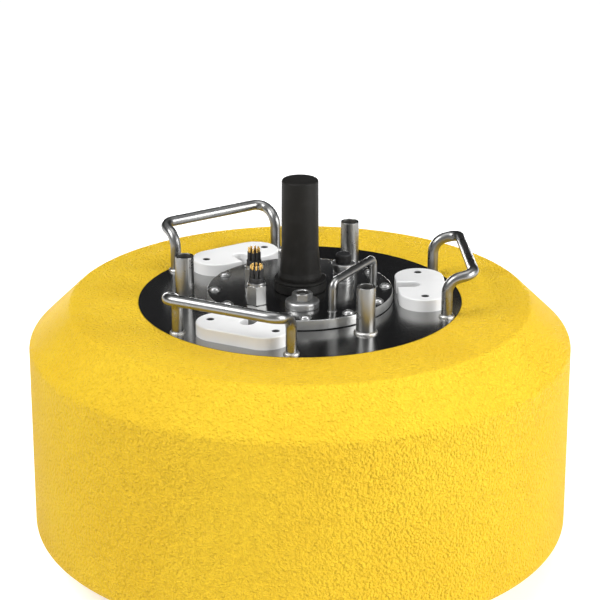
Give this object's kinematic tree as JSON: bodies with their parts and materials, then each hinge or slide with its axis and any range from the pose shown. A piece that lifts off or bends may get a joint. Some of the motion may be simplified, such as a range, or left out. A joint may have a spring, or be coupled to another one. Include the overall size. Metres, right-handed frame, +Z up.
{
  "type": "data buoy",
  "caption": "Round foam data buoy with bevelled edges, a flush steel deck, bent lifting handles, mast sockets, cable blocks and a bolted lid with antenna and connectors over a dry well.",
  "frame": {"origin": "centre of the hull's flat underside, on the floor the buoy stands on", "axes": "+Z up along the antenna and the hull's axis; +X out through the middle of lift_handle_1"},
  "size_m": [0.5999, 0.6, 0.4374],
  "materials": {
    "foam_skin": "orange-peel skin over closed-cell foam",
    "stainless_plate": "polished stainless plate",
    "stainless_bar": "bright-drawn stainless",
    "white_block": "machined white plastic",
    "antenna_black": "satin black housing",
    "connector_rubber": "moulded black rubber",
    "gold_contacts": "gold-plated pins",
    "gasket_rubber": "flat black rubber sheet",
    "battery_case": "plain dark case"
  },
  "bodies": {
    "hull": {"hull_foam": "foam_skin", "battery_pack": "battery_case", "lid_gasket": "gasket_rubber", "deck_plate": "stainless_plate", "bottom_plate": "stainless_plate", "well_pipe": "stainless_plate", "well_flange": "stainless_plate", "cable_pass_1": "stainless_bar", "cable_pass_2": "stainless_bar", "cable_pass_3": "stainless_bar", "lift_handle_1": "stainless_bar", "lift_handle_2": "stainless_bar", "lift_handle_3": "stainless_bar", "mast_socket_1": "stainless_bar", "mast_socket_2": "stainless_bar", "mast_socket_3": "stainless_bar", "mooring_lug_1": "stainless_bar", "mooring_lug_2": "stainless_bar", "mooring_lug_3": "stainless_bar", "cable_block_1": "white_block", "cable_block_2": "white_block", "cable_block_3": "white_block"},
    "lid": {"well_lid": "stainless_plate", "lid_handle": "stainless_bar", "valve_body": "stainless_bar", "valve_nut": "stainless_bar", "connector_shell_1": "stainless_bar", "connector_shell_2": "stainless_bar", "capped_shell": "stainless_bar", "antenna_base": "antenna_black", "antenna": "antenna_black", "connector_insert_1": "connector_rubber", "connector_insert_2": "connector_rubber", "connector_cap": "connector_rubber", "connector_contacts_1": "gold_contacts", "connector_contacts_2": "gold_contacts"}
  },
  "joints": [
    {"name": "lid_lift", "type": "slide", "parent": "hull", "child": "lid", "axis": [0, 0, 1], "range_m": [0, 0.15]}
  ]
}
